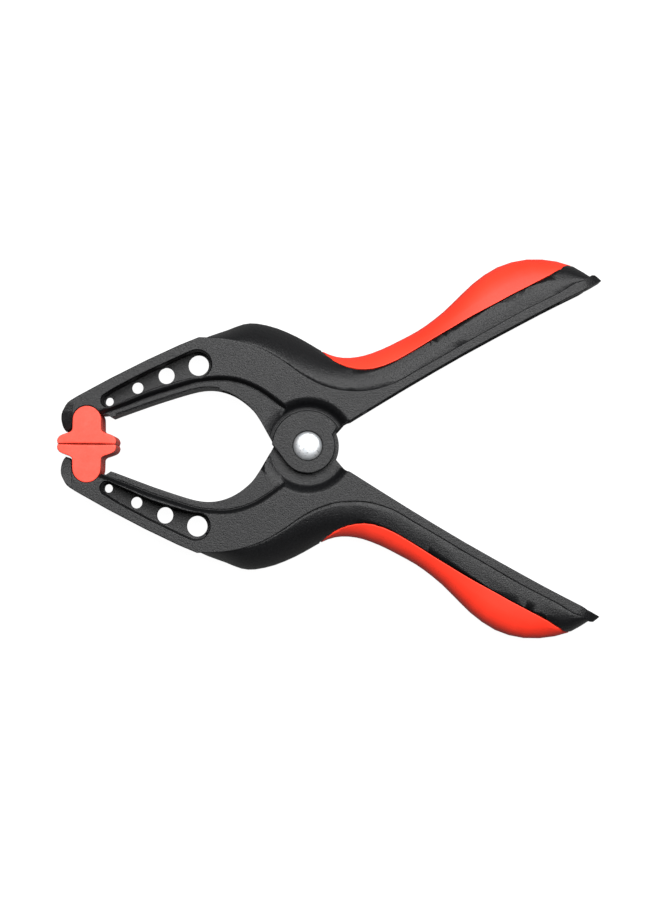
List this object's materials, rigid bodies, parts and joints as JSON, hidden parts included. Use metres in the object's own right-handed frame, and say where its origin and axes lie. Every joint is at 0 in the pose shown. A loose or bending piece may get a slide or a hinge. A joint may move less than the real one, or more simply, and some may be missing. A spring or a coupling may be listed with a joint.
{
  "type": "spring clamp",
  "caption": "Hand spring clamp: bow-shaped jaws with swivelling soft pads, pierced jaw webs, a riveted sprung pivot and soft-gripped flared handles.",
  "frame": {"origin": "centre of the clamp's length and height, on the plane its lower side rests on", "axes": "+X along the clamp from the jaws to the handles, +Y from the lower lever to the upper lever, +Z along the pivot axis towards the rivet's domed head"},
  "size_m": [0.1779, 0.125, 0.022],
  "materials": {
    "black_nylon": "fine matt spark-eroded grain",
    "red_soft_grip": "satin soft-touch",
    "red_pad": "matt",
    "zinc_plate": "bright zinc plate",
    "spring_steel": "drawn wire"
  },
  "bodies": {
    "lower_arm": {"lower_lever": "black_nylon", "lower_grip": "red_soft_grip", "pivot_rivet": "zinc_plate", "rivet_washer": "zinc_plate", "torsion_spring": "spring_steel"},
    "upper_arm": {"upper_lever": "black_nylon", "upper_grip": "red_soft_grip"},
    "lower_pad": {"lower_jaw_pad": "red_pad"},
    "upper_pad": {"upper_jaw_pad": "red_pad"}
  },
  "joints": [
    {"name": "jaw_pivot", "type": "hinge", "parent": "lower_arm", "child": "upper_arm", "pos_m": [-0.00704, 0, 0.011], "axis": [0, 0, -1], "range_deg": [0, 56], "stiffness_Nm_per_rad": 1.8, "springref_deg": -68.75, "deforming": ["torsion_spring"]},
    {"name": "lower_pad_swivel", "type": "hinge", "parent": "lower_arm", "child": "lower_pad", "pos_m": [-0.07924, -0.0079, 0.011], "axis": [0, 0, -1], "range_deg": [0, 28]},
    {"name": "upper_pad_swivel", "type": "hinge", "parent": "upper_arm", "child": "upper_pad", "pos_m": [-0.07924, 0.0079, 0.011], "axis": [0, 0, 1], "range_deg": [0, 28]}
  ],
  "couplings": [
    {"joint": "lower_pad_swivel", "follows": "jaw_pivot", "ratio": 0.5},
    {"joint": "upper_pad_swivel", "follows": "jaw_pivot", "ratio": 0.5}
  ]
}
